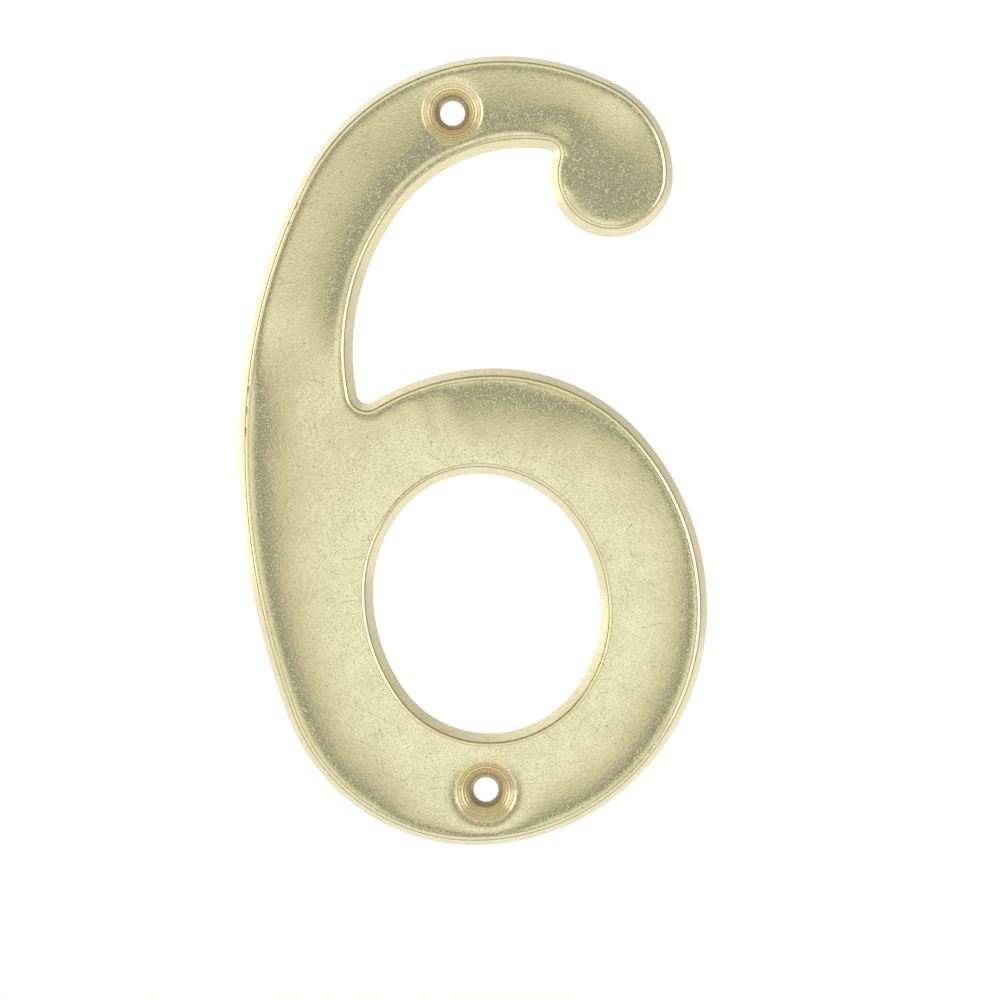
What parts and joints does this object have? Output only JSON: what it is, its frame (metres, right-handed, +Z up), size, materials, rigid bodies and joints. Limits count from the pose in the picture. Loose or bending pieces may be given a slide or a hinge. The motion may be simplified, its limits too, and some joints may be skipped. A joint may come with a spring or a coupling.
{
  "type": "door number",
  "caption": "Cast brass house numeral six with drafted walls, a rolled face edge and countersunk screw holes, fixed flat to a door.",
  "frame": {"origin": "on the flat back face, midway between the two screw holes", "axes": "+Z up the numeral, -Y out of the polished face, +Y into the door, +X to the reader's right"},
  "size_m": [0.0606, 0.004, 0.1019],
  "materials": {
    "brass": "buffed and lacquered, with fine scratches and casting pits"
  },
  "bodies": {
    "root": {"numeral_six": "brass"}
  },
  "joints": []
}
